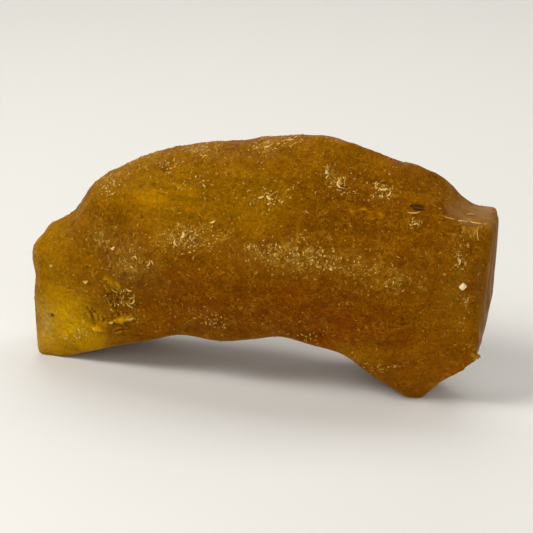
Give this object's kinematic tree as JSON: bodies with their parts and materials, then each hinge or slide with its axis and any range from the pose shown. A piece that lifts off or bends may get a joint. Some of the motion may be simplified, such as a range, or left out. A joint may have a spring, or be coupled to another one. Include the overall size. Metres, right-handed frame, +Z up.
{
  "type": "piece of natural amber",
  "caption": "Raw lump of golden fossil resin with a crusted, arched body that rests on worn feet, sand grains and a bark fleck held in its skin.",
  "frame": {"origin": "under the middle of the lump's outline, on the surface that it rests on", "axes": "+X along the lump towards its blunt end with the pointed foot, -Y towards its crusted front, +Z up"},
  "size_m": [0.0822, 0.0302, 0.0432],
  "materials": {
    "amber": "satin natural crust over clear honey resin",
    "amber_flake": "clear",
    "bark": "matt",
    "grit": "broken, matt"
  },
  "bodies": {
    "lump": {"amber_body": "amber", "bark_fleck": "bark", "edge_flake": "amber_flake", "grit_crest": "grit", "grit_brow": "grit", "grit_shoulder": "grit", "grit_right": "grit"}
  },
  "joints": []
}
